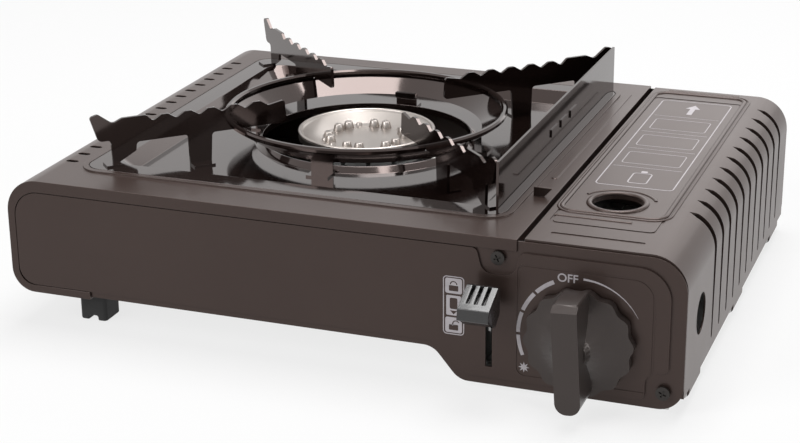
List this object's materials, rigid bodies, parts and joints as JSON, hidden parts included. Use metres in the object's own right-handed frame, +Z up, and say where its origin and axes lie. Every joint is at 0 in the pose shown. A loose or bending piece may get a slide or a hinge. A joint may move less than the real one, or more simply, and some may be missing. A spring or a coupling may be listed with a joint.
{
  "type": "butane cassette stove",
  "caption": "Portable single-burner gas stove with pressed steel body, drip tray with pan supports, dial, lock lever and a hinged cartridge bay cover.",
  "frame": {"origin": "on the table under the middle of the whole stove, knob and rear screw heads included", "axes": "+X to the right as seen from the control side, +Y to the back, +Z up"},
  "size_m": [0.346, 0.2912, 0.1053],
  "materials": {
    "shell_paint": "satin dark brown-grey enamel paint",
    "enamel": "glossy black vitreous enamel",
    "stainless": "satin stainless, warm from heat",
    "cast_alloy": "as cast",
    "zinc": "zinc-plated sheet",
    "knob_plastic": "fine matte moulded plastic",
    "lever_plastic": "black moulded plastic",
    "foot_plastic": "black rubber",
    "brass": "turned brass",
    "ceramic": "glazed ceramic",
    "lead": "red silicone insulation",
    "screw_black": "blackened steel",
    "igniter_plastic": "plain moulded plastic"
  },
  "bodies": {
    "stove_body": {"body_shell": "shell_paint", "front_panel": "shell_paint", "rear_panel": "shell_paint", "base_plate": "zinc", "partition": "zinc", "hinge_brackets": "zinc", "cover_hinge_pin": "zinc", "burner_cap": "stainless", "burner_head": "cast_alloy", "burner_bowl": "cast_alloy", "burner_bracket": "zinc", "mixing_tube": "cast_alloy", "gas_pipe": "cast_alloy", "gas_nozzle": "brass", "valve_body": "cast_alloy", "regulator": "cast_alloy", "cartridge_seat": "zinc", "piezo_igniter": "igniter_plastic", "igniter_lead": "lead", "spark_electrode": "ceramic", "electrode_tip": "zinc", "electrode_tab": "zinc", "lever_pivot_pin": "zinc", "lever_bracket": "zinc", "left_feet": "foot_plastic", "right_feet": "foot_plastic", "front_screws": "screw_black", "rear_screws": "screw_black"},
    "cover": {"cartridge_cover": "shell_paint"},
    "pan_support": {"drip_tray": "enamel", "wind_ring": "enamel", "pan_arm_front_left": "enamel", "pan_arm_rear_left": "enamel", "heat_shield": "enamel"},
    "knob": {"control_knob": "knob_plastic", "valve_stem": "zinc"},
    "lever": {"lock_lever": "zinc", "lever_thumb": "lever_plastic", "crank_pin": "zinc"},
    "carriage": {"cartridge_carriage": "zinc", "cartridge_clip": "zinc"}
  },
  "joints": [
    {"name": "cover_hinge", "type": "hinge", "parent": "stove_body", "child": "cover", "pos_m": [0.1703, 0.01235, 0.0075], "axis": [0, 1, 0], "range_deg": [0, 90]},
    {"name": "pan_support_lift", "type": "slide", "parent": "stove_body", "child": "pan_support", "axis": [0, 0, 1], "range_m": [0, 0.12]},
    {"name": "knob_turn", "type": "hinge", "parent": "stove_body", "child": "knob", "pos_m": [0.125, -0.11965, 0.033], "axis": [0, -1, 0], "range_deg": [0, 115]},
    {"name": "lever_swing", "type": "hinge", "parent": "stove_body", "child": "lever", "pos_m": [0.081, -0.08765, 0.03], "axis": [1, 0, 0], "range_deg": [-0.1, 28.1]},
    {"name": "carriage_slide", "type": "slide", "parent": "stove_body", "child": "carriage", "axis": [0, 1, 0], "range_m": [-0.008, 0]}
  ],
  "couplings": [
    {"joint": "lever_swing", "follows": "carriage_slide", "rad_per_m": -61.087}
  ]
}
